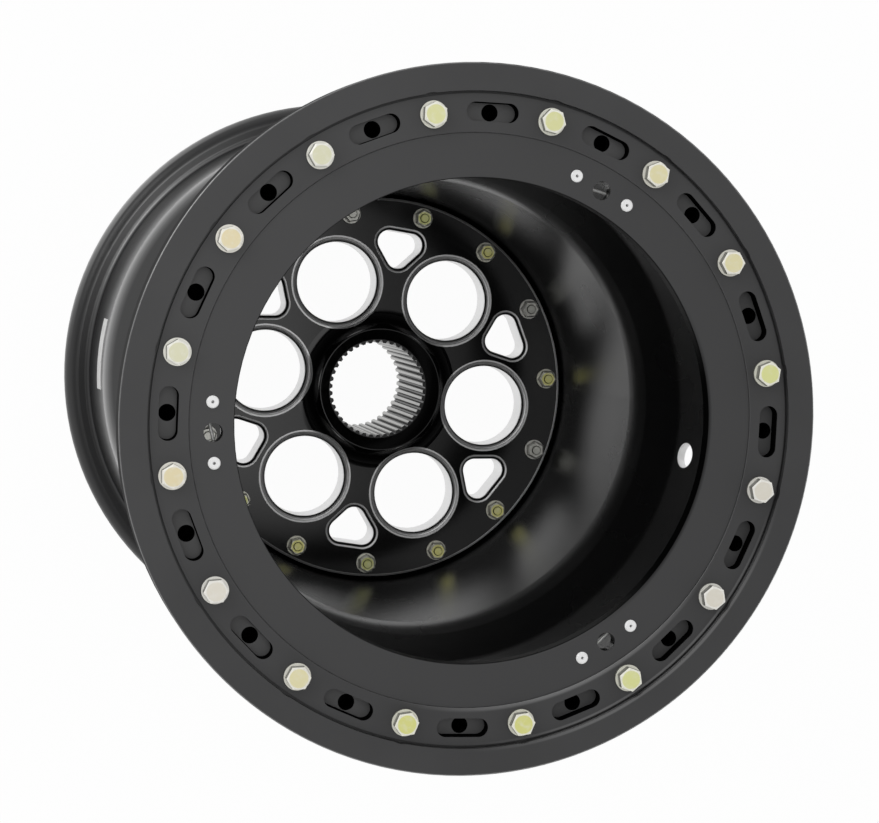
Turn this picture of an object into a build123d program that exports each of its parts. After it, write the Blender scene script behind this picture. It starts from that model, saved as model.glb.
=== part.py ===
import os
from math import cos, radians, sin, sqrt

from build123d import *

# Rim: 15 in by 17 in, standing on its inner flange with the axis up
rim_width = 431.8
bead_seat_radius = 190.1
flange_rise = 18.0
rim_wall = 4.5
joint_height = 152.4
flange_radius = bead_seat_radius + flange_rise
flange_top = joint_height + rim_wall

# Barrel of the outer half: a near-straight dish, a sloped step and a flared neck
dish_drop = 53.7
dish_bend = 5.0
dish_flare = 8.6
dish_depth = 155.1
step_flare = 17.5
step_rise = 40.0
neck_drop = 11.3
step_blend = 60.0
neck_blend = 25.0
weld_blend = 6.0
corner_shift = 1.1
dish_radius = bead_seat_radius - dish_drop
bend_edge = dish_radius - dish_bend
step_radius = dish_radius + dish_flare
step_height = flange_top + dish_depth
neck_radius = step_radius + step_flare
neck_height = step_height + step_rise
neck_top = bead_seat_radius - neck_drop

# Inner half
inner_flange_depth = 13.0
flange_land = 3.0
seat_corner = 4.0
seat_fall = 5.2
well_drop = 24.1
well_length = 10.0
slope_length = 28.0
well_blend = 10.0
shoulder_blend = 20.0
flange_curl = inner_flange_depth - flange_land
well_radius = bead_seat_radius - well_drop
inner_bend = well_radius - bend_edge
slope_top = joint_height - inner_bend - well_length
shoulder_height = slope_top - slope_length
outer_bead_height = inner_flange_depth + rim_width

# Clamp ring
ring_thickness = 12.0
lip_hang = 4.5
lip_rise = 2.5
lip_clearance = 0.3
bolt_inset = 10.3
ring_inset = 11.7
groove_width = 1.5
groove_depth = 2.5
scallop_bite = 0.5
lip_upper_round = 1.0
lip_lower_round = 4.0
slot_length = 31.0
slot_width = 11.2
slot_floor = 4.0
slot_hole_radius = 4.7
slot_hole_depth = 15.0
ring_chamfer = 0.4
ring_seat = outer_bead_height + lip_hang
ring_face = ring_seat + ring_thickness
lip_top = ring_face + lip_rise
lip_bore = bead_seat_radius + lip_clearance
groove_floor = ring_face - groove_depth
bolt_circle = bead_seat_radius - bolt_inset
ring_bore = bolt_circle - ring_inset
scallop_radius = lip_bore + groove_width + scallop_bite - bolt_circle

# Lock flange and cover plate of the outer half
spigot_clearance = 0.2
plate_step = 0.8
plate_width = 25.8
plate_thickness = 8.5
plate_edge = 0.8
spigot_wall = 5.0
bead_gap = 19.0
lock_flange_thickness = 6.0
lock_flange_rise = 10.0
spigot_radius = ring_bore - spigot_clearance
opening_radius = spigot_radius - plate_width
undercut_radius = spigot_radius - spigot_wall
plate_face = ring_face - plate_step
plate_back = plate_face - plate_thickness
lock_flange_top = outer_bead_height - bead_gap
lock_flange_base = lock_flange_top - lock_flange_thickness
lock_flange_radius = bead_seat_radius + lock_flange_rise

# Valve hole in the barrel wall
valve_hole_radius = 7.95
valve_drop = 98.3
valve_angle = -11.3
valve_height = ring_face - valve_drop

# Clamp bolts, washers and threaded inserts
clamp_count = 16
clamp_angle = 8.43
clamp_shank = 3.97
clamp_flats = 12.7
clamp_head = 5.6
clamp_length = 25.4
hex_chamfer = 0.5
hex_chamfer_run = 0.9
clamp_turns = (21, 0, 21, 45, 27, 0, 15, 30, 30, 3, 0, 6, 6, 39, 39, 42)
hole_clearance = 0.25
thread_clearance = 0.05
washer_rim = 4.0
washer_thickness = 1.8
insert_wall = 1.7
insert_length = 14.0
insert_sink = 0.5
bolt_end_gap = 8.4
insert_radius = clamp_shank + thread_clearance + insert_wall
insert_hole_depth = clamp_length - washer_thickness - ring_thickness + bolt_end_gap

# Cover sets: a quarter-turn hole with a rivet either side and a wire spring behind
cover_count = 3
cover_angle = 60.93
cover_inset = 13.7
cover_hole_radius = 5.5
rivet_spacing = 35.0
rivet_shank = 2.4
rivet_head = 3.6
rivet_head_height = 1.2
rivet_tail = 4.2
rivet_tail_height = 2.5
rivet_eye = 0.9
rivet_chamfer = 0.6
rivet_clearance = 0.05
wire_radius = 1.0
wire_clearance = 0.1
spring_wrap = 235.0
cover_circle = spigot_radius - cover_inset

# Centre bolts, nuts and washers
fastener_count = 15
fastener_angle = 50.3
fastener_shank = 3.17
fastener_flats = 11.1
fastener_head = 4.0
nut_height = 5.6
nut_turns = (0, 30, 10, 40, 25, 5, 15, 50, 12, 30, 0, 30, 30, 0, 0)
bolt_show = 1.0
bolt_end_chamfer = 0.5
thin_washer_rim = 3.8
thin_washer = 1.3

# Wheel centre
centre_gap = 1.8
centre_band = 9.6
centre_chamfer = 1.2
centre_relief = 5.0
web_step = 0.5
web_thickness = 24.5
register_clearance = 0.2
fastener_inset = 9.9
head_clearance = 0.8
centre_radius = dish_radius - centre_gap
fastener_circle = centre_radius - fastener_inset
register_radius = fastener_circle - fastener_flats / sqrt(3) - head_clearance
flange_bore = register_radius + register_clearance
band_face = flange_top + centre_band
web_face = band_face - web_step
web_back = web_face - web_thickness

# Splined hub, pressed into the wheel centre from behind
spline_count = 42
spline_tip_radius = 32.55
spline_depth = 1.85
spline_land = 3.2
spline_root_land = 1.9
spline_length = 88.9
hub_wall = 6.6
hub_front_wall = 8.5
hub_rim_land = 0.6
hub_collar = 0.3
hub_blend = 14.0
hub_back_blend = 4.0
shoulder_rise = 5.0
shoulder_thickness = 6.0
press_clearance = 0.02
mouth_depth = 8.5
spline_root = spline_tip_radius + spline_depth
hub_rim = spline_root + hub_front_wall
hub_top = web_face + hub_blend + hub_collar
spline_top = hub_top - mouth_depth
hub_back = spline_top - spline_length
hub_tube = spline_root + hub_wall
mouth_slope = mouth_depth / (hub_front_wall - 2 * hub_rim_land)
collar_top = hub_top - mouth_slope * (hub_rim - hub_rim_land - hub_tube)
shoulder_base = web_back - shoulder_thickness

# Windows of the wheel centre
window_count = 6
window_angle = 50.1
window_margin = 9.1
window_edge = 3.6
window_step = 0.15
window_bevel = 1.5
window_overcut = 1.0
corner_land = 2.6
corner_radius = 8.0
corner_width = 15.8
corner_reach = 9.8
corner_edge = 3.0
window_circle = (hub_rim + register_radius) / 2
window_radius = (register_radius - hub_rim) / 2 - window_margin
corner_outer = register_radius - corner_land - corner_edge - corner_radius

# Seal between the two halves
seal_radius = 2.5
seal_clearance = 0.1

outer_bend = dish_bend + rim_wall
bend_shift = outer_bend * dish_flare / dish_depth
seal_reach = seal_radius + seal_clearance
seal_shift = seal_reach * (outer_bend - inner_bend) / (outer_bend + inner_bend)
seal_side = sqrt((outer_bend + seal_reach) ** 2 - (outer_bend + seal_shift) ** 2)
seal_circle = bend_edge + bend_shift + seal_side

cover_angles = [cover_angle + 360 / cover_count * k for k in range(cover_count)]
slot_angle = clamp_angle + 180 / clamp_count

os.makedirs("parts", exist_ok=True)


def polar(radius, angle):
    return (radius * cos(radians(angle)), radius * sin(radians(angle)))


# Outer half: barrel, lock flange and cover plate
with BuildPart() as outer_half:
    with BuildSketch(Plane.XZ):
        with BuildLine():
            FilletPolyline(
                (opening_radius, plate_face),
                (spigot_radius, plate_face),
                (spigot_radius, ring_seat),
                (bead_seat_radius, ring_seat),
                (bead_seat_radius, lock_flange_top),
                (lock_flange_radius, lock_flange_top),
                (lock_flange_radius, lock_flange_base),
                (neck_top + rim_wall, lock_flange_base),
                (neck_radius + rim_wall, neck_height - corner_shift),
                (step_radius + rim_wall, step_height - corner_shift),
                (dish_radius + rim_wall, joint_height),
                (flange_bore, joint_height),
                (flange_bore, flange_top),
                (dish_radius, flange_top),
                (step_radius, step_height),
                (neck_radius, neck_height),
                (neck_top, lock_flange_base),
                (undercut_radius, lock_flange_base),
                (undercut_radius, plate_back),
                (opening_radius, plate_back),
                radius=(
                    plate_edge, 0, 0, 0, 0, 0, 0, weld_blend,
                    neck_blend + rim_wall, step_blend - rim_wall, outer_bend, 0, 0,
                    dish_bend, step_blend, neck_blend, weld_blend, 0, 0, 0,
                ),
                close=True,
            )
        make_face()
    revolve(axis=Axis.Z)
    with BuildSketch(Plane.XY.offset(flange_top)):
        with PolarLocations(fastener_circle, fastener_count, start_angle=fastener_angle):
            Circle(fastener_shank + hole_clearance)
    extrude(amount=-2 * rim_wall, mode=Mode.SUBTRACT)
    with BuildSketch(Plane.XY.offset(ring_seat)):
        with PolarLocations(bolt_circle, clamp_count, start_angle=clamp_angle):
            Circle(insert_radius + thread_clearance)
    extrude(amount=-insert_hole_depth, mode=Mode.SUBTRACT)
    with BuildSketch(Plane.XY.offset(ring_seat)):
        with PolarLocations(bolt_circle, clamp_count, start_angle=slot_angle):
            Circle(slot_hole_radius)
    extrude(amount=-slot_hole_depth, mode=Mode.SUBTRACT)
    with BuildSketch(Plane.XY.offset(plate_face)):
        with PolarLocations(cover_circle, cover_count, start_angle=cover_angle):
            Circle(cover_hole_radius)
            with Locations((0, -rivet_spacing / 2), (0, rivet_spacing / 2)):
                Circle(rivet_shank + rivet_clearance)
    extrude(amount=-2 * plate_thickness, mode=Mode.SUBTRACT)
    valve_direction = polar(1, valve_angle)
    with BuildSketch(Plane(origin=(0, 0, valve_height), z_dir=(*valve_direction, 0))):
        Circle(valve_hole_radius)
    extrude(amount=bead_seat_radius, mode=Mode.SUBTRACT)
outer_half.part.label = "outer_half"
export_step(outer_half.part, "parts/outer_half.step")

# Inner half: bead seat, rolled flange and joint flange
with BuildPart() as inner_half:
    with BuildSketch(Plane.XZ):
        with BuildLine():
            FilletPolyline(
                (flange_bore, joint_height),
                (well_radius, joint_height),
                (well_radius, slope_top),
                (bead_seat_radius - seat_fall, shoulder_height),
                (bead_seat_radius, inner_flange_depth),
                (flange_radius, inner_flange_depth),
                (flange_radius, 0),
                (flange_radius - rim_wall, 0),
                (flange_radius - rim_wall, inner_flange_depth - rim_wall),
                (bead_seat_radius - rim_wall, inner_flange_depth - rim_wall),
                (bead_seat_radius - seat_fall - rim_wall, shoulder_height - rim_wall / 2),
                (well_radius - rim_wall, slope_top - rim_wall / 2),
                (well_radius - rim_wall, joint_height - rim_wall),
                (flange_bore, joint_height - rim_wall),
                radius=(
                    0, inner_bend, well_blend, shoulder_blend, seat_corner, flange_curl, 0,
                    0, flange_curl - rim_wall, seat_corner + rim_wall, shoulder_blend - rim_wall,
                    well_blend + rim_wall, inner_bend - rim_wall, 0,
                ),
                close=True,
            )
        make_face()
    revolve(axis=Axis.Z)
    with BuildSketch(Plane.XY.offset(joint_height)):
        with PolarLocations(fastener_circle, fastener_count, start_angle=fastener_angle):
            Circle(fastener_shank + hole_clearance)
    extrude(amount=-2 * rim_wall, mode=Mode.SUBTRACT)
inner_half.part.label = "inner_half"
export_step(inner_half.part, "parts/inner_half.step")

# Wheel centre: bolted band, web with windows and a collar for the hub
with BuildPart() as wheel_centre:
    with BuildSketch(Plane.XZ):
        with BuildLine():
            FilletPolyline(
                (centre_radius - centre_relief, flange_top),
                (centre_radius, flange_top + centre_relief),
                (centre_radius, band_face - centre_chamfer),
                (centre_radius - centre_chamfer, band_face),
                (register_radius, band_face),
                (register_radius, web_face),
                (hub_rim, web_face),
                (hub_rim, hub_top),
                (hub_rim - hub_rim_land, hub_top),
                (hub_tube + press_clearance, collar_top),
                (hub_tube + press_clearance, web_back),
                (register_radius, web_back),
                (register_radius, flange_top),
                radius=(0, 0, 0, 0, 0, 0, hub_blend, 0, 0, 0, 0, 0, 0),
                close=True,
            )
        make_face()
    revolve(axis=Axis.Z)
    with BuildSketch(Plane.XY.offset(web_face)):
        with PolarLocations(0, window_count, start_angle=window_angle + 180 / window_count):
            Polygon(
                (corner_outer, -corner_width / 2),
                (corner_outer, corner_width / 2),
                (corner_outer - corner_reach, 0),
                align=None,
            )
        offset(amount=corner_radius)
    extrude(amount=-2 * web_thickness, mode=Mode.SUBTRACT)
    corner_edges = wheel_centre.edges(Select.LAST).group_by(Axis.Z)[-1]
    fillet(corner_edges, corner_edge)
    for k in range(window_count):
        centre = polar(window_circle, window_angle + 360 / window_count * k)
        with BuildSketch(Plane(origin=(*centre, 0), x_dir=(1, 0, 0), z_dir=(0, -1, 0))):
            with BuildLine():
                front = Polyline(
                    (0, web_back - window_overcut),
                    (window_radius + window_bevel, web_back - window_overcut),
                    (window_radius + window_bevel, web_back),
                    (window_radius, web_back + window_bevel),
                    (window_radius, web_face - window_step - window_edge),
                )
                rounding = RadiusArc(
                    front @ 1, (window_radius + window_edge, web_face - window_step), window_edge
                )
                Polyline(
                    rounding @ 1,
                    (window_radius + window_edge, hub_top + window_overcut),
                    (0, hub_top + window_overcut),
                    front @ 0,
                )
            make_face()
        revolve(axis=Axis((*centre, 0), (0, 0, 1)), mode=Mode.SUBTRACT)
    with BuildSketch(Plane.XY.offset(band_face)):
        with PolarLocations(fastener_circle, fastener_count, start_angle=fastener_angle):
            Circle(fastener_shank + hole_clearance)
    extrude(amount=-2 * centre_band, mode=Mode.SUBTRACT)
wheel_centre.part.label = "wheel_centre"
export_step(wheel_centre.part, "parts/wheel_centre.step")

# Splined hub with a shoulder behind the web
with BuildPart() as spline_hub:
    with BuildSketch(Plane.XZ):
        with BuildLine():
            FilletPolyline(
                (hub_tube, collar_top),
                (spline_root + hub_rim_land, spline_top),
                (spline_tip_radius, spline_top),
                (spline_tip_radius, hub_back),
                (hub_tube, hub_back),
                (hub_tube, shoulder_base),
                (hub_tube + shoulder_rise, shoulder_base),
                (hub_tube + shoulder_rise, web_back),
                (hub_tube, web_back),
                radius=(0, 0, 0, 0, 0, hub_back_blend, 0, 0, 0),
                close=True,
            )
        make_face()
    revolve(axis=Axis.Z)
    half_mouth = (360 / spline_count - spline_land) / 2
    half_root = spline_root_land / 2
    with BuildSketch(Plane.XY.offset(hub_back)):
        with PolarLocations(0, spline_count):
            Polygon(
                polar(spline_tip_radius - spline_depth, -half_mouth),
                polar(spline_tip_radius, -half_mouth),
                polar(spline_root, -half_root),
                polar(spline_root, half_root),
                polar(spline_tip_radius, half_mouth),
                polar(spline_tip_radius - spline_depth, half_mouth),
                align=None,
            )
    extrude(amount=spline_length, mode=Mode.SUBTRACT)
spline_hub.part.label = "spline_hub"
export_step(spline_hub.part, "parts/spline_hub.step")

# Clamp ring with slot pockets and scallops beside the bolts
with BuildPart() as clamp_ring:
    with BuildSketch(Plane.XZ):
        with BuildLine():
            FilletPolyline(
                (ring_bore, ring_seat),
                (lip_bore, ring_seat),
                (lip_bore, outer_bead_height),
                (flange_radius, outer_bead_height),
                (flange_radius, lip_top),
                (lip_bore + groove_width, lip_top),
                (lip_bore + groove_width, groove_floor),
                (lip_bore, groove_floor),
                (lip_bore, ring_face),
                (ring_bore + ring_chamfer, ring_face),
                (ring_bore, ring_face - ring_chamfer),
                radius=(0, 0, 0, lip_lower_round, lip_upper_round, 0, 0, 0, 0, 0, 0),
                close=True,
            )
        make_face()
    revolve(axis=Axis.Z)
    with BuildSketch(Plane.XY.offset(groove_floor)):
        with PolarLocations(bolt_circle, clamp_count, start_angle=clamp_angle):
            Circle(scallop_radius)
        Circle(lip_bore, mode=Mode.SUBTRACT)
    extrude(amount=2 * (groove_depth + lip_rise), mode=Mode.SUBTRACT)
    with BuildSketch(Plane.XY.offset(ring_face)):
        with PolarLocations(bolt_circle, clamp_count, start_angle=slot_angle):
            SlotOverall(slot_length, slot_width, rotation=90)
    extrude(amount=slot_floor - ring_thickness, mode=Mode.SUBTRACT)
    with BuildSketch(Plane.XY.offset(ring_face)):
        with PolarLocations(bolt_circle, clamp_count, start_angle=slot_angle):
            Circle(slot_hole_radius)
        with PolarLocations(bolt_circle, clamp_count, start_angle=clamp_angle):
            Circle(clamp_shank + hole_clearance)
    extrude(amount=-2 * ring_thickness, mode=Mode.SUBTRACT)
clamp_ring.part.label = "clamp_ring"
export_step(clamp_ring.part, "parts/clamp_ring.step")

# Clamp bolts, each head stopped at its own turn
with BuildPart() as clamp_bolts:
    for k in range(clamp_count):
        spot = polar(bolt_circle, clamp_angle + 360 / clamp_count * k)
        turn = clamp_turns[k % len(clamp_turns)]
        with BuildSketch(Plane.XY.offset(ring_face + washer_thickness)):
            with Locations(spot):
                RegularPolygon(clamp_flats / 2, 6, major_radius=False, rotation=turn)
        extrude(amount=clamp_head)
    top_edges = clamp_bolts.edges().group_by(Axis.Z)[-1]
    chamfer(top_edges, length=hex_chamfer, length2=hex_chamfer_run)
    with BuildSketch(Plane.XY.offset(ring_face + washer_thickness)):
        with PolarLocations(bolt_circle, clamp_count, start_angle=clamp_angle):
            Circle(clamp_shank)
    extrude(amount=-clamp_length)
clamp_bolts.part.label = "clamp_bolts"
export_step(clamp_bolts.part, "parts/clamp_bolts.step")

# Washers under the clamp bolts
with BuildPart() as clamp_washers:
    with BuildSketch(Plane.XY.offset(ring_face)):
        with PolarLocations(bolt_circle, clamp_count, start_angle=clamp_angle):
            Circle(clamp_shank + washer_rim)
            Circle(clamp_shank + hole_clearance, mode=Mode.SUBTRACT)
    extrude(amount=washer_thickness)
clamp_washers.part.label = "clamp_washers"
export_step(clamp_washers.part, "parts/clamp_washers.step")

# Threaded inserts in the lock flange
with BuildPart() as lock_inserts:
    with BuildSketch(Plane.XY.offset(ring_seat - insert_sink)):
        with PolarLocations(bolt_circle, clamp_count, start_angle=clamp_angle):
            Circle(insert_radius)
            Circle(clamp_shank + thread_clearance, mode=Mode.SUBTRACT)
    extrude(amount=-insert_length)
lock_inserts.part.label = "lock_inserts"
export_step(lock_inserts.part, "parts/lock_inserts.step")

# Centre bolts, heads on the inner side
with BuildPart() as centre_bolts:
    head_seat = joint_height - rim_wall
    bolt_end = band_face + thin_washer + nut_height + bolt_show
    with BuildSketch(Plane.XY.offset(head_seat)):
        with PolarLocations(fastener_circle, fastener_count, start_angle=fastener_angle):
            RegularPolygon(fastener_flats / 2, 6, major_radius=False)
    extrude(amount=-fastener_head)
    with BuildSketch(Plane.XY.offset(head_seat)):
        with PolarLocations(fastener_circle, fastener_count, start_angle=fastener_angle):
            Circle(fastener_shank)
    extrude(amount=bolt_end - head_seat)
    chamfer(centre_bolts.edges().group_by(Axis.Z)[-1], length=bolt_end_chamfer)
centre_bolts.part.label = "centre_bolts"
export_step(centre_bolts.part, "parts/centre_bolts.step")

# Nuts on the outer side of the wheel centre
with BuildPart() as centre_nuts:
    for k in range(fastener_count):
        spot = polar(fastener_circle, fastener_angle + 360 / fastener_count * k)
        turn = nut_turns[k % len(nut_turns)]
        with BuildSketch(Plane.XY.offset(band_face + thin_washer)):
            with Locations(spot):
                RegularPolygon(fastener_flats / 2, 6, major_radius=False, rotation=turn)
                Circle(fastener_shank + thread_clearance, mode=Mode.SUBTRACT)
        extrude(amount=nut_height)
    top_edges = centre_nuts.edges().group_by(Axis.Z)[-1].filter_by(GeomType.LINE)
    chamfer(top_edges, length=hex_chamfer, length2=hex_chamfer_run)
centre_nuts.part.label = "centre_nuts"
export_step(centre_nuts.part, "parts/centre_nuts.step")

# Washers under the nuts
with BuildPart() as centre_washers:
    with BuildSketch(Plane.XY.offset(band_face)):
        with PolarLocations(fastener_circle, fastener_count, start_angle=fastener_angle):
            Circle(fastener_shank + thin_washer_rim)
            Circle(fastener_shank + hole_clearance, mode=Mode.SUBTRACT)
    extrude(amount=thin_washer)
centre_washers.part.label = "centre_washers"
export_step(centre_washers.part, "parts/centre_washers.step")

# Seal ring in the groove between the two halves
with BuildPart() as seal_ring:
    with BuildSketch(Plane.XZ):
        with Locations((seal_circle, joint_height - seal_shift)):
            Circle(seal_radius)
    revolve(axis=Axis.Z)
seal_ring.part.label = "seal_ring"
export_step(seal_ring.part, "parts/seal_ring.step")

# Blind rivets that hold the cover springs
with BuildPart() as cover_rivets:
    wire_gap = 2 * (wire_radius + wire_clearance)
    with BuildSketch(Plane.XY.offset(plate_face)):
        with PolarLocations(cover_circle, cover_count, start_angle=cover_angle):
            with Locations((0, -rivet_spacing / 2), (0, rivet_spacing / 2)):
                Circle(rivet_head)
    extrude(amount=rivet_head_height)
    chamfer(cover_rivets.edges().group_by(Axis.Z)[-1], length=rivet_chamfer)
    with BuildSketch(Plane.XY.offset(plate_face)):
        with PolarLocations(cover_circle, cover_count, start_angle=cover_angle):
            with Locations((0, -rivet_spacing / 2), (0, rivet_spacing / 2)):
                Circle(rivet_shank)
    extrude(amount=-plate_thickness - wire_gap)
    with BuildSketch(Plane.XY.offset(plate_back - wire_gap)):
        with PolarLocations(cover_circle, cover_count, start_angle=cover_angle):
            with Locations((0, -rivet_spacing / 2), (0, rivet_spacing / 2)):
                Circle(rivet_tail)
    extrude(amount=-rivet_tail_height)
    with BuildSketch(Plane.XY.offset(plate_face + rivet_head_height)):
        with PolarLocations(cover_circle, cover_count, start_angle=cover_angle):
            with Locations((0, -rivet_spacing / 2), (0, rivet_spacing / 2)):
                Circle(rivet_eye)
    extrude(amount=-plate_thickness / 2, mode=Mode.SUBTRACT)
cover_rivets.part.label = "cover_rivets"
export_step(cover_rivets.part, "parts/cover_rivets.step")

# Wire springs: an eye round each rivet and a bar across the quarter-turn hole
spring_eye = rivet_shank + wire_clearance + wire_radius
spring_lean = 2 * spring_eye / rivet_spacing
for k, angle in enumerate(cover_angles):
    tangent = (sin(radians(angle)), -cos(radians(angle)), 0)
    seat = Plane(
        origin=(*polar(cover_circle, angle), plate_back - wire_radius - wire_clearance),
        x_dir=tangent,
        z_dir=(0, 0, 1),
    )
    with BuildPart() as cover_spring:
        with BuildLine(seat) as wire:
            touch_x = rivet_spacing / 2 - spring_eye * spring_lean
            touch_y = spring_eye * sqrt(1 - spring_lean**2)
            bar = Line((-touch_x, -touch_y), (touch_x, touch_y))
            JernArc(bar @ 1, bar % 1, spring_eye, -spring_wrap)
            JernArc(bar @ 0, bar % 0 * -1, spring_eye, -spring_wrap)
        with BuildSketch(Plane(origin=bar @ 0.5, z_dir=bar % 0.5)):
            Circle(wire_radius)
        sweep(path=wire.line)
    cover_spring.part.label = f"cover_spring_{k + 1}"
    export_step(cover_spring.part, f"parts/cover_spring_{k + 1}.step")
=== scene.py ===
import math

import bpy
from mathutils import Matrix, Vector


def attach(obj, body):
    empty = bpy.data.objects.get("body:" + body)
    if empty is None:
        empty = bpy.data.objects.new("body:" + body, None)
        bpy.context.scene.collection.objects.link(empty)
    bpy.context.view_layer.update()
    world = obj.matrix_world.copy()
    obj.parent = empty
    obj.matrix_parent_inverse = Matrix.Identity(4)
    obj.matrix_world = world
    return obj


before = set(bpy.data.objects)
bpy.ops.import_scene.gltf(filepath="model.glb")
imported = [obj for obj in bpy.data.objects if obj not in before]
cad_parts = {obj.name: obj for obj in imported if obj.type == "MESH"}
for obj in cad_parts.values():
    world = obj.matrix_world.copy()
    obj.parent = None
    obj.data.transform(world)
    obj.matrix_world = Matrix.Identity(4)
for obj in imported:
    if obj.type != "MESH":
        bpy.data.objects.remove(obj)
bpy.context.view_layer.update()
print("frame loaded:", len(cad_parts), "nodes")


class Signal:
    # a shader socket that can be added, multiplied and compared like a number
    def __init__(self, finish, socket):
        self.finish = finish
        self.socket = socket

    def out(self, name):
        return Signal(self.finish, self.socket.node.outputs[name])

    def math(self, operation, *values):
        return self.finish.node("ShaderNodeMath", {"operation": operation}, dict(enumerate(values)))

    def __add__(self, other):
        return self.math("ADD", self, other)

    def __radd__(self, other):
        return self.math("ADD", other, self)

    def __sub__(self, other):
        return self.math("SUBTRACT", self, other)

    def __rsub__(self, other):
        return self.math("SUBTRACT", other, self)

    def __mul__(self, other):
        return self.math("MULTIPLY", self, other)

    def __rmul__(self, other):
        return self.math("MULTIPLY", other, self)

    def __truediv__(self, other):
        return self.math("DIVIDE", self, other)

    def __rtruediv__(self, other):
        return self.math("DIVIDE", other, self)

    def __pow__(self, other):
        return self.math("POWER", self, other)

    def __abs__(self):
        return self.math("ABSOLUTE", self)

    def least(self, other):
        return self.math("MINIMUM", self, other)

    def most(self, other):
        return self.math("MAXIMUM", self, other)

    def rise(self, low, high):  # 0 below low, 1 above high, smooth between
        return self.finish.node(
            "ShaderNodeMapRange",
            {"interpolation_type": "SMOOTHSTEP"},
            {"Value": self, "From Min": low, "From Max": high},
        )

    def drop(self, low, high):  # 1 below low, 0 above high
        return 1 - self.rise(low, high)

    def above(self, level, soft):
        return self.rise(level - soft, level + soft)

    def below(self, level, soft):
        return 1 - self.above(level, soft)

    def band(self, low, high, soft):  # 1 between low and high
        return self.above(low, soft) * self.below(high, soft)


# What every finish shares: the black that painted shade gives to walls kept dark, and the depth of its
# grain
finishLook = {"shadeBlack": (0.002, 0.002, 0.002, 1), "grainDepth": 0.0002}


class Finish:
    # one material, with its nodes added by name
    def __init__(self, name):
        self.material = bpy.data.materials.new(name)
        self.material.use_nodes = True
        self.tree = self.material.node_tree
        self.tree.nodes.clear()
        self.place = self.node("ShaderNodeTexCoord").out("Object")
        parts = self.node("ShaderNodeSeparateXYZ", inputs={"Vector": self.place})
        self.x, self.y, self.z = parts.out("X"), parts.out("Y"), parts.out("Z")
        self.radius = self.length(self.x, self.y)
        self.turn = self.x.math("ARCTAN2", self.y, self.x) / math.tau

    def node(self, kind, settings=None, inputs=None):
        made = self.tree.nodes.new(kind)
        for name, value in (settings or {}).items():
            if name == "stops":
                while len(made.color_ramp.elements) < len(value):
                    made.color_ramp.elements.new(1.0)
                for element, (position, colour) in zip(made.color_ramp.elements, value):
                    element.position = position
                    element.color = (*colour, 1.0)
            elif name == "ramp":
                made.color_ramp.interpolation = value
            else:
                setattr(made, name, value)
        for name, value in (inputs or {}).items():
            if isinstance(value, Signal):
                self.tree.links.new(value.socket, made.inputs[name])
            else:
                made.inputs[name].default_value = value
        return Signal(self, made.outputs[0])

    def length(self, x, y):
        return (x * x + y * y) ** 0.5

    def fold(self, count, angle):  # place beside the nearest of count copies, the first one at angle
        share = (self.turn - angle / 360) * count
        side = (share - share.math("ROUND", share)) * (math.tau / count)
        return self.radius * side.math("COSINE", side), self.radius * side.math("SINE", side)

    def arc(self, start, end, soft):  # 1 between two angles, in degrees from -180 to 180
        return (self.turn * 360).band(start, end, soft)

    def noise(self, scale, detail=2, stretch=(1, 1, 1)):
        spot = self.node("ShaderNodeMapping", inputs={"Vector": self.place, "Scale": stretch})
        return self.node("ShaderNodeTexNoise", inputs={"Vector": spot, "Scale": scale, "Detail": detail})

    def blend(self, share, first, second):  # colours
        first, second = ((*c, 1.0) if isinstance(c, tuple) else c for c in (first, second))
        mixed = self.node("ShaderNodeMix", {"data_type": "RGBA"}, {0: share, 6: first, 7: second})
        return mixed.out(2)

    def bump(self, height, strength):
        inputs = {"Height": height, "Strength": strength, "Distance": finishLook["grainDepth"]}
        return self.node("ShaderNodeBump", inputs=inputs)

    def shade(self, dark=None, **sockets):  # dark marks where painted shade keeps walls black whatever light they face
        inputs = {name.replace("_", " "): value for name, value in sockets.items()}
        shader = self.node("ShaderNodeBsdfPrincipled", inputs=inputs)
        if dark is not None:
            shadeBlack = self.node("ShaderNodeBsdfDiffuse", inputs={"Color": finishLook["shadeBlack"]})
            shader = self.node("ShaderNodeMixShader", inputs={0: dark, 1: shader, 2: shadeBlack})
        self.finishWith(shader)
        return self

    def finishWith(self, shader):
        end = self.tree.nodes.new("ShaderNodeOutputMaterial")
        self.tree.links.new(shader.socket, end.inputs["Surface"])


def dress(finish, *nodes):
    for name in nodes:
        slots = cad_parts[name].data.materials
        slots.clear()
        slots.append(finish.material)


# Cloud and grain that all the satin black pieces share
satinLook = {"cloudScale": 14, "cloudDetail": 4, "grainScale": 2600}


def satinTexture(f):
    look = satinLook
    return f.noise(look["cloudScale"], look["cloudDetail"]), f.noise(look["grainScale"])


# Slots of the ring, whose holes go on into the flange below
slotLook = {"count": 16, "angle": 19.68, "circle": 0.1798, "length": 0.031, "width": 0.0112}


def besideSlot(f):  # place beside the middle of the nearest slot
    out, along = f.fold(slotLook["count"], slotLook["angle"])
    return out - slotLook["circle"], along


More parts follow.
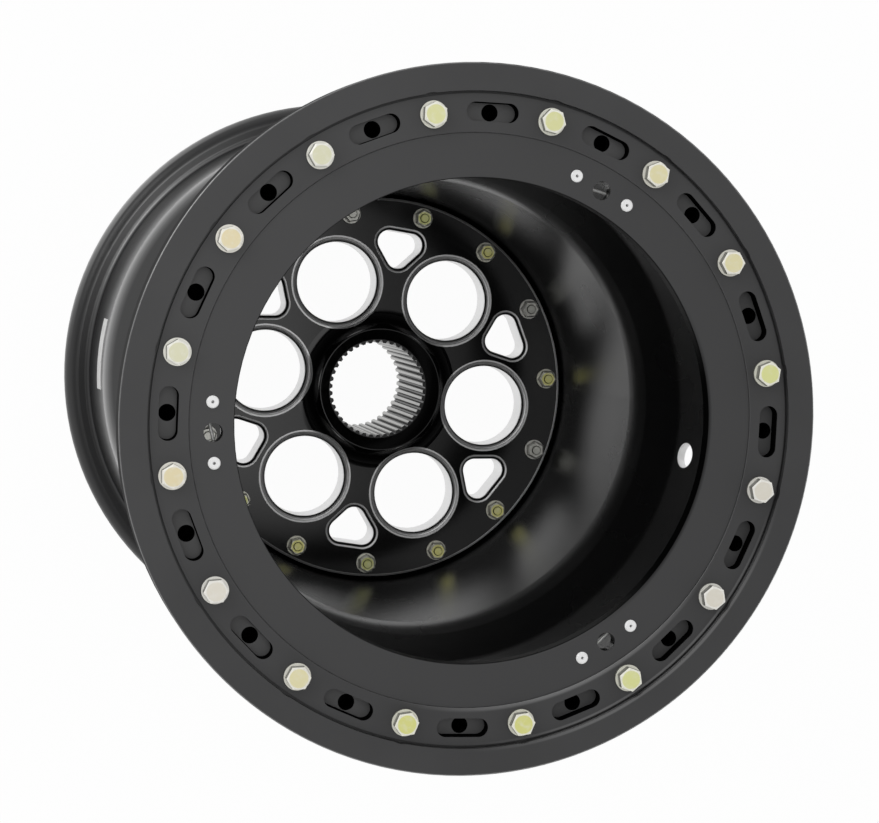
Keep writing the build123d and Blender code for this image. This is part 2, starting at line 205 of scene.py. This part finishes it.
# Satin black anodising on the machined ring. A pair of lengths is where a look starts to change and
# where it has changed, in metres. An arc is two angles and their softness, in degrees.
ringLook = {
    "black": (0.036, 0.036, 0.037),
    "pale": (0.043, 0.043, 0.044),
    "cloud": (0.3, 0.7),
    "roughness": 0.42,
    "mottle": 0.08,
    "grain": 0.06,
    # Painted light: the pocket floors are painted paler than the face to offset the shade in them, and
    # less so in shadeArc, where that is painted shade
    "pocketFloorLit": (0.086, 0.086, 0.087),
    "pocketShade": (0.062, 0.062, 0.063),
    "shadeArc": (-88, 36, 20),
    "face": 0.4613,
    "sunk": (-0.0008, -0.0003),  # from the face
    "pocketEdge": (0.0003, 0.0005),  # out from the slot's outline
    # Painted shade: near the slot's outline the pocket wall is painted black
    "pocketWallShade": (-0.0004, -0.0002),
    "holeRadius": 0.0047,
    "holeRim": (0.0001, 0.0003),  # out from the hole
    # Painted highlight: edges that catch the light are painted paler, only in seamArc and stepArc
    "edgeHighlight": (0.15, 0.15, 0.151),
    "seam": (0.169, 0.171),  # the painted highlight on the edge beside the cover plate
    "seamArc": (-92, -46, 18),
    "steps": ((0.1890, 0.1904, 0.0004), (0.1914, 0.1936, 0.0004)),  # painted highlights on each side of the groove
    "stepArc": (-80, -26, 14),
    "stepShare": 0.75,
    "lipRadius": (0.2072, 0.2074),  # the polished edge of the lip
    "lipHeight": (0.4632, 0.4634),
    "polishRoughness": 0.25,
    "polishIor": 2.2,
    "wallRadius": (0.2078, 0.2079),  # the wall below that edge, painted dark as shade
    "wallTop": (0.4630, 0.4633),
    "wallShadeShare": 0.8,
}


def ringFinish():
    look = ringLook
    f = Finish("ringSatinBlack")
    out, along = besideSlot(f)
    past = (abs(along) - (slotLook["length"] - slotLook["width"]) / 2).most(0.0)
    reach = f.length(out, past) - slotLook["width"] / 2
    sunk = (f.z - look["face"]).drop(*look["sunk"])
    inPocket = reach.drop(*look["pocketEdge"]) * sunk
    # Painted shade: the pocket walls and the hole down into the flange stay black
    hole = (f.length(out, along) - look["holeRadius"]).drop(*look["holeRim"])
    pocketWallShade = reach.rise(*look["pocketWallShade"]).most(hole) * inPocket
    cloud, grain = satinTexture(f)
    colour = f.blend(cloud.rise(*look["cloud"]), look["black"], look["pale"])
    # Painted light on the pocket floors, turning to painted shade in shadeArc
    floor = f.blend(f.arc(*look["shadeArc"]), look["pocketFloorLit"], look["pocketShade"])
    colour = f.blend(inPocket, colour, floor)
    # Painted highlight beside the cover plate and on each side of the groove
    edgeHighlight = f.radius.drop(*look["seam"]) * f.arc(*look["seamArc"])
    for step in look["steps"]:
        edgeHighlight = edgeHighlight.most(f.radius.band(*step) * f.arc(*look["stepArc"]) * look["stepShare"])
    colour = f.blend(edgeHighlight * (1 - sunk), colour, look["edgeHighlight"])
    polished = f.radius.rise(*look["lipRadius"]) * f.z.rise(*look["lipHeight"])
    # Painted shade on the lip's outer wall
    lipWallShade = f.radius.rise(*look["wallRadius"]) * f.z.drop(*look["wallTop"])
    return f.shade(
        dark=pocketWallShade.most(lipWallShade * look["wallShadeShare"]),
        Base_Color=colour,
        Coat_Weight=polished,
        Coat_Roughness=look["polishRoughness"],
        Coat_IOR=look["polishIor"],
        Roughness=look["roughness"] + (cloud - 0.5) * look["mottle"],
        Normal=f.bump(grain, look["grain"]),
    )


# Outer half: satin cover plate, smooth black barrel, bare metal inside the valve hole, painted shade in
# the plate's bore and in the holes below the ring
rimLook = {
    "black": (0.004, 0.004, 0.0042),
    "roughness": 0.27,
    "mottle": 0.06,
    "grain": 0.04,
    "satin": (0.04, 0.04, 0.041),
    "satinRoughness": 0.42,
    "plateFace": 0.4605,
    "plateTop": (-0.0015, -0.0009),  # from its face
    "plateBack": (-0.0087, -0.0085),
    "plateBore": 0.1421,
    "boreWall": (0.0003, 0.0005),  # out from the bore
    "seat": (0.02, 0.021),  # out from the bore too, the satin seat below the ring
    "seatHeight": (0.449, 0.4495),
    "boreShadeArc": (-50, 20, 14),  # where painted shade makes the bore black
    "boreGrey": 0.8,  # how strong that painted shade is elsewhere
    "boreEdge": 0.0024,  # width over which painted shade darkens the plate towards its bore
    "boreEdgeShare": 0.8,
    "metal": (0.97, 0.97, 0.97),
    "metallic": 0.2,
    "metalRoughness": 0.15,
    "valveAngle": -11.3,
    "valveHeight": 0.363,
    "valveRadius": 0.00795,
    "valveRim": (0.0001, 0.0003),  # out from the valve hole
    "valveSide": (0.12, 0.13),
    # Painted shade: the holes under the ring's slot holes are painted black
    "holeRadius": 0.0049,
    "holeRim": (-0.0001, 0.0),
    "holeTop": (0.4487, 0.449),
    "holeFoot": (0.43, 0.431),
}


def valveWall(f, look):
    angle = math.radians(look["valveAngle"])
    along = f.x * math.cos(angle) + f.y * math.sin(angle)
    across = f.y * math.cos(angle) - f.x * math.sin(angle)
    reach = f.length(across, f.z - look["valveHeight"]) - look["valveRadius"]
    return reach.drop(*look["valveRim"]) * along.rise(*look["valveSide"])


def rimFinish():
    look = rimLook
    f = Finish("rimSatinAndGloss")
    fromFace = f.z - look["plateFace"]
    fromBore = f.radius - look["plateBore"]
    satin = fromFace.rise(*look["plateTop"])
    satin = satin.most(fromBore.rise(*look["seat"]) * f.z.rise(*look["seatHeight"]))
    bare = valveWall(f, look)
    # Painted shade down the holes under the ring's slots
    holeShade = (f.length(*besideSlot(f)) - look["holeRadius"]).drop(*look["holeRim"])
    holeShade = holeShade * f.z.drop(*look["holeTop"]) * f.z.rise(*look["holeFoot"])
    # Painted shade in the plate's bore and along its inner edge, strongest in the bore's arc
    bore = fromBore.drop(*look["boreWall"]) * fromFace.rise(*look["plateBack"])
    shadeWedge = f.arc(*look["boreShadeArc"])
    edge = (1 - fromBore / look["boreEdge"]).most(0.0) * satin
    bore = bore * (look["boreGrey"] + shadeWedge * (1 - look["boreGrey"]))
    bore = bore.most(edge * shadeWedge * look["boreEdgeShare"])
    cloud, grain = satinTexture(f)
    black = f.blend(satin, look["black"], look["satin"])
    roughness = look["roughness"] + satin * (look["satinRoughness"] - look["roughness"])
    return f.shade(
        dark=holeShade.most(bore),
        Base_Color=f.blend(bare, black, look["metal"]),
        Metallic=bare * look["metallic"],
        Roughness=roughness + (cloud - 0.5) * look["mottle"] + bare * look["metalRoughness"],
        Normal=f.bump(grain, look["grain"]),
    )


# Inner half: satin black all over, glossier round the shoulder and along part of the flange
innerLook = {
    "black": (0.008, 0.008, 0.0085),
    "pale": (0.0112, 0.0112, 0.0119),
    "roughness": 0.33,
    "mottle": 0.1,
    "grain": 0.05,
    "shoulderUp": (0.045, 0.0785),
    "shoulderDown": (0.0785, 0.09),
    "shoulderRadius": (0.178, 0.18),
    "flangeEdge": (0.2045, 0.206),
    "flangeCorner": (0.191, 0.199, 0.001),
    "flangeTop": (0.018, 0.02),
    "flangeArc": (118, 158, 24),
    "glossRoughness": 0.28,
    "glossIor": 2.2,
}


def innerFinish():
    look = innerLook
    f = Finish("innerSatinBlack")
    shoulder = f.z.rise(*look["shoulderUp"]) * f.z.drop(*look["shoulderDown"])
    shoulder = shoulder * f.radius.rise(*look["shoulderRadius"])
    flange = f.radius.band(*look["flangeCorner"]) * f.z.drop(*look["flangeTop"])
    flange = flange.most(f.radius.rise(*look["flangeEdge"])) * f.arc(*look["flangeArc"])
    cloud, grain = satinTexture(f)
    return f.shade(
        Base_Color=f.blend(cloud, look["black"], look["pale"]),
        Coat_Weight=shoulder.most(flange),
        Coat_Roughness=look["glossRoughness"],
        Coat_IOR=look["glossIor"],
        Roughness=look["roughness"] + (cloud - 0.5) * look["mottle"],
        Normal=f.bump(grain, look["grain"]),
    )


# Wheel centre: gloss black, with bare metal where the windows and teeth were cut, painted highlights round
# the windows and on the disc's outer edge, and painted shade towards the teeth's roots
centreLook = {
    "black": (0.004, 0.004, 0.0042),
    "roughness": 0.13,
    "mottle": 0.05,
    "cloudScale": 20,
    "cloudDetail": 4,
    "cut": (0.84, 0.84, 0.84),
    "cutRoughness": 0.38,
    "streakScale": 900,
    "streakStretch": (1, 1, 0.02),
    "streak": 0.1,
    "hubEdge": (0.045, 0.046),  # windows are outside this
    "webFace": 0.166,
    "front": (-0.0045, -0.0035),  # from the web's face
    "windowCount": 6,
    "windowAngle": 50.1,
    "windowCircle": 0.0802,
    "windowRadius": 0.0282,
    "wall": (0.0002, 0.0004),  # out from a window's wall, and so are the painted highlight bands and the painted dark ring in them
    # Painted highlights on the windows' rounded edges: a pale band with a painted dark ring across it, and
    # a thin bright ring at its outer side
    "windowHighlightBand": (0.0012, 0.0046),
    "lineWidth": 0.0007,
    "lineSoft": 0.0002,
    # groove is where the painted dark ring crosses the band, not a groove in the part
    "groove": (0.0028, 0.0034),
    "darkLineShare": 0.6,
    "cornerHighlightBand": (0.0018, 0.0031),
    "bandSoft": 0.0003,
    "bandMetal": 0.6,
    "cornerOuter": 0.10389,
    "cornerWidth": 0.0079,
    "cornerReach": 0.0098,
    "cornerRadius": 0.008,
    "edge": (0.012, 0.012, 0.012),
    "edgeDull": 0.6,
    "band": (0.75, 0.75, 0.75),
    "highlightLine": (0.95, 0.95, 0.95),
    "rimHighlight": (0.9, 0.9, 0.9),
    "discEdge": 0.1329,
    "rimHeight": (-0.0012, -0.0008),  # from the web's face
    "rimArc": (-62, 30, 16),  # where the painted highlight on the disc's outer edge is brightest
    "rimFaint": 0.35,
    # Bare teeth, painted darker towards their roots as shade between them
    "toothTip": (0.45, 0.45, 0.44),
    "toothRootShade": (0.06, 0.06, 0.06),
    "toothFade": (0.0327, 0.0335),
    "toothRadius": 0.0349,
    "toothTop": 0.1716,
    "crisp": 0.0001,
}


def windowReach(f, look):  # how far outside the wall of the nearest round window
    x, y = f.fold(look["windowCount"], look["windowAngle"])
    return f.length(x - look["windowCircle"], y) - look["windowRadius"]


def cornerReach(f, look):  # how far outside the wall of the nearest three-cornered window
    x, y = f.fold(look["windowCount"], look["windowAngle"] + 180 / look["windowCount"])
    y = abs(y)
    long, wide = look["cornerReach"], look["cornerWidth"]
    toFlat = f.length(x - look["cornerOuter"], (y - wide).most(0.0))
    fromTip = x - (look["cornerOuter"] - long)
    share = ((fromTip * long + y * wide) / (long * long + wide * wide)).most(0.0).least(1.0)
    toSide = f.length(fromTip - share * long, y - share * wide)
    return toFlat.least(toSide) - look["cornerRadius"]


def centreFinish():
    look = centreLook
    f = Finish("centreGlossBlack")
    window, corner = windowReach(f, look), cornerReach(f, look)
    crisp = look["crisp"]
    fromFace = f.z - look["webFace"]
    onWeb = f.radius.rise(*look["hubEdge"])
    front = fromFace.rise(*look["front"]) * onWeb
    wall = window.least(corner).drop(*look["wall"]) * onWeb
    # Painted highlight band and thin bright ring round each window, with a painted dark ring across the
    # band; the rounded edge inside takes a slightly paler, duller black
    outer, far = look["windowHighlightBand"][1], look["cornerHighlightBand"][1]
    rounded = (window - outer).least(corner - far).below(0.0, crisp) * front * (1 - wall)
    cornerHighlightBand = corner.band(*look["cornerHighlightBand"], look["bandSoft"])
    band = window.band(*look["windowHighlightBand"], look["bandSoft"]).most(cornerHighlightBand) * front
    band = band * (1 - window.band(*look["groove"], look["lineSoft"]) * look["darkLineShare"])
    highlightLine = window.band(outer - look["lineWidth"], outer, look["lineSoft"]) * front
    # Painted highlight on the disc's outer edge
    rimHighlight = f.radius.above(look["discEdge"], crisp) * fromFace.rise(*look["rimHeight"])
    rimHighlight = rimHighlight * (look["rimFaint"] + f.arc(*look["rimArc"]) * (1 - look["rimFaint"]))
    teeth = f.radius.below(look["toothRadius"], crisp) * f.z.below(look["toothTop"], crisp)
    # Painted shade towards the roots of the teeth
    metal = f.blend(f.radius.rise(*look["toothFade"]), look["toothTip"], look["toothRootShade"])
    bare = wall.most(teeth)
    cloud = f.noise(look["cloudScale"], look["cloudDetail"])
    streak = f.noise(look["streakScale"], stretch=look["streakStretch"])
    colour = f.blend(rounded, look["black"], look["edge"])
    for share, name in ((band, "band"), (highlightLine, "highlightLine"), (rimHighlight, "rimHighlight"), (wall, "cut")):
        colour = f.blend(share, colour, look[name])
    dull = bare.most(band).most(rimHighlight).most(rounded * look["edgeDull"])
    roughness = look["roughness"] + dull * (look["cutRoughness"] - look["roughness"])
    return f.shade(
        Base_Color=f.blend(teeth, colour, metal),
        Metallic=bare.most(band * look["bandMetal"]),
        Roughness=roughness + (cloud - 0.5) * look["mottle"],
        Normal=f.bump(streak * bare, look["streak"]),
    )


dress(ringFinish(), "clamp_ring")
dress(rimFinish(), "outer_half")
dress(innerFinish(), "inner_half")
dress(centreFinish(), "wheel_centre", "spline_hub")
print("black finishes on 5 nodes")

# Zinc plate, each fastener in its own tint, with a painted highlight round the edge of heads and nuts,
# washers pale all over, and painted shade down the sides
zincTints = {
    "lime": (0.8, 0.82, 0.36),
    "yellow": (0.78, 0.78, 0.4),
    "gold": (0.77, 0.77, 0.28),
    "straw": (0.84, 0.78, 0.47),
    "peach": (0.82, 0.72, 0.46),
    "pale": (0.75, 0.74, 0.53),
    "silver": (0.82, 0.78, 0.68),
    "olive": (0.87, 0.84, 0.32),
    "moss": (0.72, 0.74, 0.31),
    "grey": (0.6, 0.6, 0.55),
    # edge is a painted highlight on heads and nuts and the washers' own pale colour; side is painted shade
    "edge": (0.9, 0.89, 0.84),
    "side": (0.07, 0.07, 0.06),
}
zincShares = {
    "cloudScale": 260,
    "cloudDetail": 3,
    "cloud": (0.45, 0.8),
    "cloudShare": 0.35,
    "edgeFade": 0.0006,
    "edgeShare": 0.85,
    "sideFade": 0.0001,
    "sideShadeShare": 0.9,
    "mottle": 0.15,
    "grainScale": 3000,
    "grain": 0.05,
}
ringRow = {
    "angle": 8.43,
    "circle": slotLook["circle"],  # the bolts stand between the slots
    "tints": "lime straw straw yellow yellow pale peach pale"
             " peach silver straw gold gold lime silver silver",
}
centreRow = {
    "angle": 50.3,
    "circle": 0.1247,
    "tints": "olive moss grey olive moss moss grey moss olive moss olive olive grey olive grey",
}
# edge is the radius past which a piece is paler: a painted highlight on heads and nuts, and the washers'
# own pale colour where it is 0; depth how far below its top painted shade turns its sides dark
boltLook = {"edge": 0.0052, "top": 0.4687, "depth": 0.0007, "metal": 0.15, "roughness": 0.34}
washerLook = {"edge": 0.0, "top": 0.4631, "depth": 0.0003, "metal": 0.25, "roughness": 0.3}
nutLook = {"edge": 0.0043, "top": 0.1734, "depth": 0.0007, "metal": 0.8, "roughness": 0.32}
endLook = {"edge": 0.01, "top": 0.1744, "depth": 0.0002, "metal": 0.9, "roughness": 0.32}
thinLook = {"edge": 0.0, "top": 0.1678, "depth": 0.0003, "metal": 0.5, "roughness": 0.35}


def zincFinish(name, row, look):
    shares = zincShares
    f = Finish(name)
    tints = row["tints"].split()
    count = len(tints)
    share = f.turn - (row["angle"] / 360 - 0.5 / count)
    share = share - share.math("FLOOR", share)
    stops = [(k / count, zincTints[tint]) for k, tint in enumerate(tints)]
    tint = f.node("ShaderNodeValToRGB", {"ramp": "CONSTANT", "stops": stops}, {"Fac": share})
    out, along = f.fold(count, row["angle"])
    fromAxis = f.length(out - row["circle"], along)
    # Painted highlight past the edge radius, the whole face on washers, and painted shade down the sides
    edge = fromAxis.rise(look["edge"], look["edge"] + shares["edgeFade"])
    foot = look["top"] - look["depth"]
    side = f.z.drop(foot - shares["sideFade"], foot)
    cloud = f.noise(shares["cloudScale"], shares["cloudDetail"])
    grain = f.noise(shares["grainScale"])
    colour = f.blend(cloud.rise(*shares["cloud"]) * shares["cloudShare"], tint, zincTints["edge"])
    colour = f.blend(edge * shares["edgeShare"], colour, zincTints["edge"])
    return f.shade(
        Base_Color=f.blend(side * shares["sideShadeShare"], colour, zincTints["side"]),
        Metallic=look["metal"],
        Roughness=look["roughness"] + (cloud - 0.5) * shares["mottle"],
        Normal=f.bump(grain, shares["grain"]),
    )


dress(zincFinish("boltZinc", ringRow, boltLook), "clamp_bolts")
dress(zincFinish("washerZinc", ringRow, washerLook), "clamp_washers")
dress(zincFinish("nutZinc", centreRow, nutLook), "centre_nuts")
dress(zincFinish("boltEndZinc", centreRow, endLook), "centre_bolts")
dress(zincFinish("thinWasherZinc", centreRow, thinLook), "centre_washers")
print("zinc on 5 nodes")

# Plain finishes: steel, aluminium and rubber here, and foil on the label strip
plainShares = {
    "cloudScale": 250,
    "cloudDetail": 3,
    "grainScale": 2000,
    "darkest": 0.85,
    "mottle": 0.12,
    "grain": 0.08,
}
insertLook = {"colour": (0.5, 0.5, 0.5), "metal": 1.0, "roughness": 0.3}
springLook = {"colour": (0.9, 0.9, 0.88), "metal": 0.3, "roughness": 0.3}
rivetLook = {"colour": (0.97, 0.97, 0.97), "metal": 0.0, "roughness": 0.35}
sealLook = {"colour": (0.015, 0.015, 0.015), "metal": 0.0, "roughness": 0.6}


def plainFinish(name, look):
    shares = plainShares
    f = Finish(name)
    cloud = f.noise(shares["cloudScale"], shares["cloudDetail"])
    grain = f.noise(shares["grainScale"])
    darkest = tuple(shares["darkest"] * c for c in look["colour"])
    return f.shade(
        Base_Color=f.blend(cloud, darkest, look["colour"]),
        Metallic=look["metal"],
        Roughness=look["roughness"] + (cloud - 0.5) * shares["mottle"],
        Normal=f.bump(grain, shares["grain"]),
    )


dress(plainFinish("insertSteel", insertLook), "lock_inserts")
dress(plainFinish("springSteel", springLook), "cover_spring_1", "cover_spring_2", "cover_spring_3")
dress(plainFinish("rivetAluminium", rivetLook), "cover_rivets")
dress(plainFinish("sealRubber", sealLook), "seal_ring")
print("plain finishes on 6 nodes")

# Bare label strip round the bead seat of the inner half
stripLook = {
    "angles": (165.5, 181.5),
    "heights": (0.051, 0.067),
    "seatBase": (0.1901, 0.013),  # radius and height of the seat's foot
    "seatTop": (0.1849, 0.0798),
    "thickness": 0.00025,
    "steps": 720,
    "crease": 30,
    "colour": (0.86, 0.86, 0.85),
    "metal": 0.0,
    "roughness": 0.3,
}


def seatRadius(height):
    (footRadius, foot), (topRadius, top) = stripLook["seatBase"], stripLook["seatTop"]
    return footRadius + (topRadius - footRadius) * (height - foot) / (top - foot)


def makeStrip():
    look = stripLook
    low, high = look["heights"]
    bpy.ops.object.select_all(action="DESELECT")
    bpy.ops.mesh.primitive_cone_add(
        vertices=look["steps"], radius1=seatRadius(low), radius2=seatRadius(high), depth=high - low,
        end_fill_type="NOTHING", location=(0, 0, (low + high) / 2),
    )
    strip = bpy.context.object
    strip.name = "labelStrip"
    bpy.ops.object.transform_apply(location=True)
    bpy.ops.object.mode_set(mode="EDIT")
    for angle, side in zip(look["angles"], (1, -1)):  # keep only the stretch between the two angles
        turn = math.radians(angle)
        outward = (side * math.sin(turn), -side * math.cos(turn), 0)
        bpy.ops.mesh.select_all(action="SELECT")
        bpy.ops.mesh.bisect(plane_co=(0, 0, 0), plane_no=outward, clear_outer=True)
    bpy.ops.object.mode_set(mode="OBJECT")
    skin = strip.modifiers.new("skin", "SOLIDIFY")
    skin.thickness = look["thickness"]
    skin.offset = 1.0
    bpy.ops.object.modifier_apply(modifier=skin.name)
    bpy.ops.object.shade_smooth_by_angle(angle=math.radians(look["crease"]))
    strip.data.materials.append(plainFinish("stripFoil", look).material)
    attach(strip, "root")
    return strip


strip = makeStrip()
print("label strip:", len(strip.data.polygons), "faces")

# Floor, white to the camera and in reflections, and it still takes a soft shadow
floorLook = {"size": 30.0, "colour": (0.9, 0.9, 0.9), "white": 0.97}


def makeFloor():
    look = floorLook
    bpy.ops.object.select_all(action="DESELECT")
    bpy.ops.mesh.primitive_plane_add(size=look["size"], location=(0, 0, 0))
    floor = bpy.context.object
    floor.name = "floor"
    f = Finish("floorWhite")
    ray = f.node("ShaderNodeLightPath")
    seen = ray.out("Is Camera Ray")
    for other in ("Is Glossy Ray", "Is Transmission Ray"):
        seen = seen.most(ray.out(other))
    paint = f.node("ShaderNodeBsdfDiffuse", inputs={"Color": (*look["colour"], 1)})
    white = f.node("ShaderNodeEmission", inputs={"Color": (1, 1, 1, 1), "Strength": 1.0})
    f.finishWith(f.node("ShaderNodeMixShader", inputs={0: seen * look["white"], 1: paint, 2: white}))
    floor.data.materials.append(f.material)


makeFloor()

# Soft studio light: white round the horizon, a grey ceiling and two large panels
studio = {
    "horizon": 1.0,
    "ceiling": 0.4,
    "fade": (0.35, 0.85),  # heights in the sky between which it goes from one to the other
    "panels": {
        "topPanel": {"place": (-0.35, 0.5, 2.6), "aim": (-0.35, 0.5, 0), "size": (1.5, 1.8), "power": 8.5},
        "sidePanel": {"place": (-1.9, 1.6, 1.9), "aim": (0, 0, 0.4), "size": (1.4, 1.4), "power": 14},
    },
}


def makeSky():
    world = bpy.data.worlds.new("studioWorld")
    bpy.context.scene.world = world
    world.use_nodes = True
    tree = world.node_tree
    tree.nodes.clear()
    where = tree.nodes.new("ShaderNodeTexCoord")
    parts = tree.nodes.new("ShaderNodeSeparateXYZ")
    level = tree.nodes.new("ShaderNodeMapRange")
    sky = tree.nodes.new("ShaderNodeBackground")
    end = tree.nodes.new("ShaderNodeOutputWorld")
    level.interpolation_type = "SMOOTHSTEP"
    level.inputs["From Min"].default_value, level.inputs["From Max"].default_value = studio["fade"]
    level.inputs["To Min"].default_value = studio["horizon"]
    level.inputs["To Max"].default_value = studio["ceiling"]
    sky.inputs["Color"].default_value = (1, 1, 1, 1)
    tree.links.new(where.outputs["Generated"], parts.inputs[0])
    tree.links.new(parts.outputs["Z"], level.inputs["Value"])
    tree.links.new(level.outputs[0], sky.inputs["Strength"])
    tree.links.new(sky.outputs[0], end.inputs["Surface"])


def makePanels():
    for name, panel in studio["panels"].items():
        bpy.ops.object.light_add(type="AREA", location=panel["place"])
        lamp = bpy.context.object
        lamp.name = name
        lamp.data.shape = "RECTANGLE"
        lamp.data.size, lamp.data.size_y = panel["size"]
        lamp.data.energy = panel["power"]
        aim = Vector(panel["aim"]) - Vector(panel["place"])
        lamp.rotation_euler = aim.to_track_quat("-Z", "Y").to_euler()


makeSky()
makePanels()

# Camera at the photo's viewing angle, looking steeply down on the standing wheel
view = {
    "place": (-0.3178, 0.1123, 1.7262),
    "right": (0.97386, 0.0, 0.22717),
    "up": (0.01834, 0.99674, -0.07861),
    "lens": 92.11,
    "sensor": 36,
}


def makeCamera():
    bpy.ops.object.camera_add()
    camera = bpy.context.object
    right, up = Vector(view["right"]).normalized(), Vector(view["up"]).normalized()
    turn = Matrix((right, up, right.cross(up))).transposed().to_4x4()
    camera.matrix_world = Matrix.Translation(view["place"]) @ turn
    camera.data.lens = view["lens"]
    camera.data.sensor_width = view["sensor"]
    camera.data.sensor_fit = "HORIZONTAL"
    bpy.context.scene.camera = camera


makeCamera()
bpy.context.scene.view_settings.view_transform = "Standard"
print("camera and light set")
